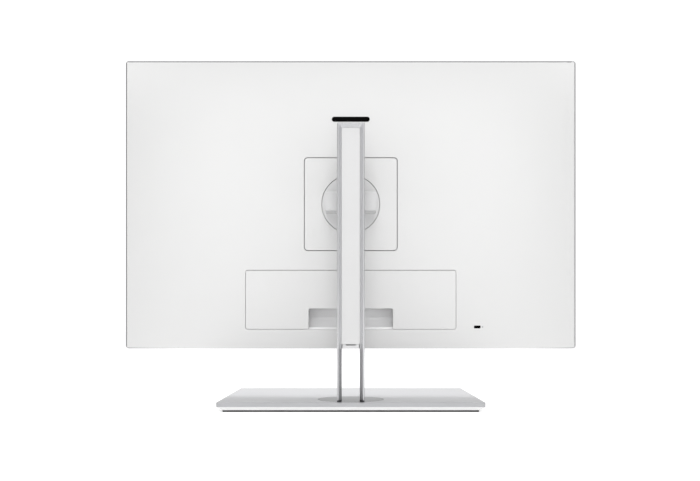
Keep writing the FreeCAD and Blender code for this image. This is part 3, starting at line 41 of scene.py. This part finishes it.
# how a brushed grain is drawn out along an axis
ALONG_X, ALONG_Z = (0.012, 1, 1), (1, 1, 0.012)


def link(tree, source, output, target, socket):
    tree.links.new(source.outputs[output], target.inputs[socket])


def noise(tree, coordinates, scale, detail, stretch=(1, 1, 1)):
    """A noise texture in the object's own metres, drawn out along an axis by a small stretch."""
    mapping = tree.nodes.new("ShaderNodeMapping")
    mapping.inputs["Scale"].default_value = stretch
    link(tree, coordinates, "Object", mapping, "Vector")
    texture = tree.nodes.new("ShaderNodeTexNoise")
    texture.inputs["Scale"].default_value = scale
    texture.inputs["Detail"].default_value = detail
    link(tree, mapping, "Vector", texture, "Vector")
    return texture


def finish_of(name, colour, rough, metal=0.0, tint=0.03, patch=9, grain=2600, bump=0.05, depth=0.02,
              stretch=(1, 1, 1), rough_spread=0.05, **sockets):
    """A shader whose colour, gloss and surface vary the way the real finish does.

    tint is how far the colour drifts over patches, and patch how many fit in a metre;
    grain and stretch are the fineness and direction of the surface texture, bump its strength
    and depth its height in millimetres, and rough_spread how far the roughness follows it.
    sockets are constants for the shader's other sockets.
    """
    material = bpy.data.materials.new(name)
    material.use_nodes = True
    tree = material.node_tree
    shader = tree.nodes["Principled BSDF"]
    shader.inputs["Metallic"].default_value = metal
    for socket, value in sockets.items():
        shader.inputs[socket.replace("_", " ")].default_value = value
    coordinates = tree.nodes.new("ShaderNodeTexCoord")

    patches = noise(tree, coordinates, patch, PATCH_DETAIL)
    ramp = tree.nodes.new("ShaderNodeValToRGB")
    for element, factor, place in zip(ramp.color_ramp.elements, (1 - tint, 1 + tint), PATCH_SPAN):
        element.position = place
        element.color = [min(1.0, c * factor) for c in colour] + [1.0]
    link(tree, patches, "Fac", ramp, "Fac")
    link(tree, ramp, "Color", shader, "Base Color")

    texture = noise(tree, coordinates, grain, GRAIN_DETAIL, stretch)
    spread = tree.nodes.new("ShaderNodeMapRange")
    spread.inputs["From Min"].default_value = GRAIN_SPAN[0]
    spread.inputs["From Max"].default_value = GRAIN_SPAN[1]
    spread.inputs["To Min"].default_value = rough - rough_spread
    spread.inputs["To Max"].default_value = rough + rough_spread
    link(tree, texture, "Fac", spread, "Value")
    link(tree, spread, "Result", shader, "Roughness")

    raised = tree.nodes.new("ShaderNodeBump")
    raised.inputs["Strength"].default_value = bump
    raised.inputs["Distance"].default_value = depth * MM
    link(tree, texture, "Fac", raised, "Height")
    link(tree, raised, "Normal", shader, "Normal")
    return material


FINISHES = {
    "white_cover": dict(colour=(0.65, 0.65, 0.648), rough=0.5, tint=0.006, patch=5, bump=0.12),
    "white_insert": dict(colour=(0.56, 0.56, 0.561), rough=0.42, tint=0.01, patch=12, bump=0.08),
    "grey_cap": dict(colour=(0.56, 0.56, 0.565), rough=0.45, tint=0.02, patch=40, bump=0.12),
    "white_tray": dict(colour=(0.80, 0.80, 0.80), rough=0.5, tint=0.01, bump=0.15),
    # painted light: the port bay's plastic is made far whiter than the cover's, to fill the shade deep
    # inside the notch
    "bay_plastic_painted_light": dict(colour=(0.94, 0.94, 0.945), rough=0.55, tint=0.02, bump=0.2),
    "head_plastic": dict(colour=(0.63, 0.63, 0.632), rough=0.55, tint=0.015, bump=0.2),
    "foot_metal": dict(
        colour=(0.475, 0.477, 0.49), rough=0.36, metal=0.9, tint=0.015, grain=1500, stretch=ALONG_X, bump=0.1
    ),
    "column_metal": dict(
        colour=(0.64, 0.642, 0.655), rough=0.3, metal=0.9, tint=0.015, grain=1500, stretch=ALONG_Z, bump=0.1
    ),
    # partly painted shade: the swivel disc is made much darker than the foot, part of that standing in for
    # the column's shade on the disc
    "disc_metal_painted_shade": dict(
        colour=(0.22, 0.222, 0.23), rough=0.34, metal=0.9, tint=0.015, grain=1500, stretch=ALONG_X, bump=0.1
    ),
    # painted reflection: the side frame is silver metal, and its dark colour stands in for the dark it
    # reflects along the outline
    "frame_metal_painted_dark": dict(
        colour=(0.20, 0.202, 0.21), rough=0.38, metal=0.85, tint=0.02, grain=1500, stretch=ALONG_X, bump=0.1
    ),
    "cast_metal": dict(
        colour=(0.42, 0.43, 0.45), rough=0.5, metal=0.85, tint=0.08, patch=60, grain=900, bump=0.3
    ),
    "plated_steel": dict(
        colour=(0.55, 0.56, 0.58), rough=0.33, metal=1.0, tint=0.08, patch=30, grain=1200, stretch=ALONG_X,
        bump=0.12,
    ),
    "black_screws": dict(colour=(0.05, 0.05, 0.055), rough=0.35, metal=0.8, tint=0.1, patch=200, bump=0.2),
    "sliding_plastic": dict(colour=(0.78, 0.77, 0.70), rough=0.35, tint=0.03, bump=0.1),
    # the foot pads are real rubber; the column gaskets wear it as painted shade, dark parts standing in for
    # the contact shade at the struts' feet
    "rubber": dict(colour=(0.03, 0.03, 0.032), rough=0.8, tint=0.15, patch=80, grain=1800, bump=0.4),
    "black_bezel": dict(
        colour=(0.012, 0.012, 0.013), rough=0.34, tint=0.06, patch=12, bump=0.12, Specular_IOR_Level=0.35
    ),
    "black_plastic": dict(colour=(0.022, 0.022, 0.024), rough=0.42, tint=0.1, patch=40, bump=0.25),
    # the rear badge's black is real print; on the lock plate this glossless black is painted shade, standing
    # in for the dark inside of the lock slot
    "black_print_and_painted_shade": dict(
        colour=(0.002, 0.002, 0.002), rough=0.6, tint=0.1, patch=90, bump=0.1, Specular_IOR_Level=0.02
    ),
    "speaker_cloth": dict(colour=(0.045, 0.045, 0.048), rough=0.85, tint=0.12, patch=60, bump=0.2),
    "screen": dict(
        colour=(0.004, 0.004, 0.005), rough=0.2, tint=0.1, patch=4, grain=5000, bump=0.05, rough_spread=0.03,
        Specular_IOR_Level=0.2,
    ),
    "film": dict(colour=(0.7, 0.7, 0.69), rough=0.5, tint=0.03),
    "milky": dict(colour=(0.35, 0.37, 0.38), rough=0.3, tint=0.05, patch=300),
    "solder_mask": dict(
        colour=(0.012, 0.075, 0.035), rough=0.35, tint=0.35, patch=140, grain=700, bump=0.3
    ),
    "bright_shell": dict(colour=(0.68, 0.69, 0.71), rough=0.22, metal=1.0, tint=0.05, patch=120, bump=0.1),
    "copper": dict(
        colour=(0.72, 0.36, 0.22), rough=0.28, metal=1.0, tint=0.12, patch=50, grain=900, bump=0.15
    ),
    "mill_aluminium": dict(
        colour=(0.64, 0.65, 0.67), rough=0.35, metal=1.0, tint=0.06, patch=40, grain=1200, stretch=ALONG_X
    ),
    "zinc_case": dict(
        colour=(0.50, 0.51, 0.52), rough=0.4, metal=0.9, tint=0.12, patch=25, grain=500, bump=0.1
    ),
    "flex": dict(colour=(0.10, 0.055, 0.012), rough=0.4, tint=0.1, grain=800, stretch=ALONG_Z),
}

LOOKS = {name: finish_of(name, **finish) for name, finish in FINISHES.items()}


def weave(material, scale=320, waviness=0.4, strength=0.6, height=0.15):
    """Gives a cloth a tight plain weave: two crossed sets of threads, about a millimetre apart.

    scale is the wave texture's own, and height the threads' height in millimetres.
    """
    tree = material.node_tree
    coordinates = tree.nodes.new("ShaderNodeTexCoord")
    crossed = tree.nodes.new("ShaderNodeMath")
    crossed.operation = "MAXIMUM"
    for place, direction in enumerate(("X", "Z")):
        threads = tree.nodes.new("ShaderNodeTexWave")
        threads.bands_direction = direction
        threads.inputs["Scale"].default_value = scale
        threads.inputs["Distortion"].default_value = waviness
        link(tree, coordinates, "Object", threads, "Vector")
        link(tree, threads, "Fac", crossed, place)
    raised = tree.nodes.new("ShaderNodeBump")
    raised.inputs["Strength"].default_value = strength
    raised.inputs["Distance"].default_value = height * MM
    link(tree, crossed, "Value", raised, "Height")
    link(tree, raised, "Normal", tree.nodes["Principled BSDF"], "Normal")


weave(LOOKS["speaker_cloth"])

WEARS = {
    "white_cover": "rear_cover mount_plate port_cover",
    "white_insert": "column_insert column_front_plate",
    "grey_cap": "column_end_cap",
    "white_tray": "foot_tray",
    "bay_plastic_painted_light": "port_bay",
    "head_plastic": "tilt_head",
    "foot_metal": "foot_shell",
    "disc_metal_painted_shade": "swivel_disc",
    "column_metal": "column_frame",
    "frame_metal_painted_dark": "side_frame",
    "cast_metal": "carriage hinge_arm",
    "plated_steel": (
        "foot_ballast chassis_plate stand_bracket swivel_retainer pivot_retainer guide_rods"
        " tilt_axle drum_axle lift_spring_ribbon spring_drum"
    ),
    "black_screws": "swivel_screws arm_screws pivot_screws board_screws",
    "sliding_plastic": "swivel_washer slide_bushes friction_washers",
    "rubber": "foot_pads column_gaskets",
    "black_bezel": "front_bezel",
    "black_plastic": "camera_shutter fan_housing fan_impeller power_inlet loudspeakers power_button",
    "black_print_and_painted_shade": "rear_badge lock_plate",
    "speaker_cloth": "speaker_grille",
    "screen": "display_glass",
    "film": "backlight_unit",
    "milky": "status_light",
    "solder_mask": "system_board memory_modules button_board camera_module",
    "bright_shell": "usb_sockets display_sockets network_socket",
    "copper": "cold_plate heat_pipe",
    "mill_aluminium": "fin_stack storage_drive",
    "zinc_case": "power_supply",
    "flex": "display_cable",
}

for look, wearers in WEARS.items():
    for node in wearers.split():
        mesh = nodes[node].data
        mesh.materials.clear()
        mesh.materials.append(LOOKS[look])


# ---------------------------------------------------------------- stage, light and camera

# the floor's half width in metres, and the strength of its own light
FLOOR_REACH, FLOOR_GLOW = 12, 0.26

# the surround's strength where the screen faces and behind the camera, and the share that a side keeps
SKY_SCREEN, SKY_CAMERA, SKY_SIDES = 1.06, 0.94, 0.42
# the parts of a direction, across and along the view, over which those strengths change
FLAG_SPAN, DEPTH_SPAN = (0.4, 0.85), (-0.6, 0.6)

# the camera's place in metres, and the lens's shift as shares of the sensor's width
EYE = (0, 1.002, 0.092)
FOCAL_MM, SENSOR_MM = 43.9, 36
LENS_ACROSS, LENS_RISE = -0.0011, 0.1207


def smooth_step(tree, source, output, low, high, start, end):
    """A value that runs smoothly from start to end as its input runs from low to high."""
    step = tree.nodes.new("ShaderNodeMapRange")
    step.interpolation_type = "SMOOTHSTEP"
    for name, value in (("From Min", low), ("From Max", high), ("To Min", start), ("To Max", end)):
        step.inputs[name].default_value = value
    link(tree, source, output, step, "Value")
    return step


def floor():
    """A plain pale floor that glows a little and runs far out to a level horizon."""
    mesh = bpy.data.meshes.new("floor")
    signs = ((-1, -1), (1, -1), (1, 1), (-1, 1))
    corners = [(x * FLOOR_REACH, y * FLOOR_REACH, 0) for x, y in signs]
    mesh.from_pydata(corners, [], [(0, 1, 2, 3)])
    plane = bpy.data.objects.new("floor", mesh)
    scene.collection.objects.link(plane)
    paint = finish_of(
        "floor_paint", (0.9, 0.9, 0.9), 0.9, tint=0.002, patch=0.5, bump=0,
        Emission_Color=(1, 1, 1, 1), Emission_Strength=FLOOR_GLOW,
    )
    mesh.materials.append(paint)


def world():
    """A white surround, a little brighter where the screen faces, with a dim flag at each side."""
    sky = bpy.data.worlds.new("surround")
    sky.use_nodes = True
    tree = sky.node_tree
    background = tree.nodes["Background"]
    coordinates = tree.nodes.new("ShaderNodeTexCoord")
    parts = tree.nodes.new("ShaderNodeSeparateXYZ")
    link(tree, coordinates, "Generated", parts, "Vector")
    side = tree.nodes.new("ShaderNodeMath")
    side.operation = "ABSOLUTE"
    link(tree, parts, "X", side, 0)
    flags = smooth_step(tree, side, "Value", *FLAG_SPAN, 1, SKY_SIDES)
    depth = smooth_step(tree, parts, "Y", *DEPTH_SPAN, SKY_SCREEN, SKY_CAMERA)
    both = tree.nodes.new("ShaderNodeMath")
    both.operation = "MULTIPLY"
    link(tree, flags, "Result", both, 0)
    link(tree, depth, "Result", both, 1)
    link(tree, both, "Value", background, "Strength")
    background.inputs["Color"].default_value = (1.0, 1.0, 1.0, 1.0)
    scene.world = sky


def softbox(name, place, target, size, watts, mirrored=False):
    """A soft lamp that no camera sees and, unless it is mirrored, that leaves no glint on the metal."""
    data = bpy.data.lights.new(name, "AREA")
    data.shape = "RECTANGLE"
    data.size, data.size_y = size
    data.energy = watts
    lamp = bpy.data.objects.new(name, data)
    lamp.location = place
    lamp.rotation_euler = (Vector(target) - Vector(place)).to_track_quat("-Z", "Y").to_euler()
    lamp.visible_camera = False
    lamp.visible_glossy = mirrored
    scene.collection.objects.link(lamp)


def camera():
    """Level, square to the back, with the lens raised so that uprights stay upright."""
    data = bpy.data.cameras.new("camera")
    data.sensor_width = SENSOR_MM
    data.lens = FOCAL_MM
    data.shift_x = LENS_ACROSS
    data.shift_y = LENS_RISE
    data.clip_start = 0.01
    data.clip_end = 100
    eye = bpy.data.objects.new("camera", data)
    eye.location = EYE
    eye.rotation_euler = (math.radians(90), 0, math.radians(180))
    scene.collection.objects.link(eye)
    scene.camera = eye


floor()
world()
softbox("overhead", place=(0, 0.25, 1.9), target=(0, 0.1, 0), size=(2.4, 2.0), watts=4.5)
softbox("frontal", place=(0, 1.0, 0.75), target=(0, 0, 0.3), size=(0.5, 0.5), watts=3.4)
softbox("fill", place=(0, 0.95, 0.13), target=(0, 0, 0.13), size=(0.3, 0.3), watts=1.2)
softbox("far", place=(0, -1.3, 1.3), target=(0, 0, 0.1), size=(1.2, 0.8), watts=9, mirrored=True)
camera()
scene.view_settings.view_transform = "Standard"
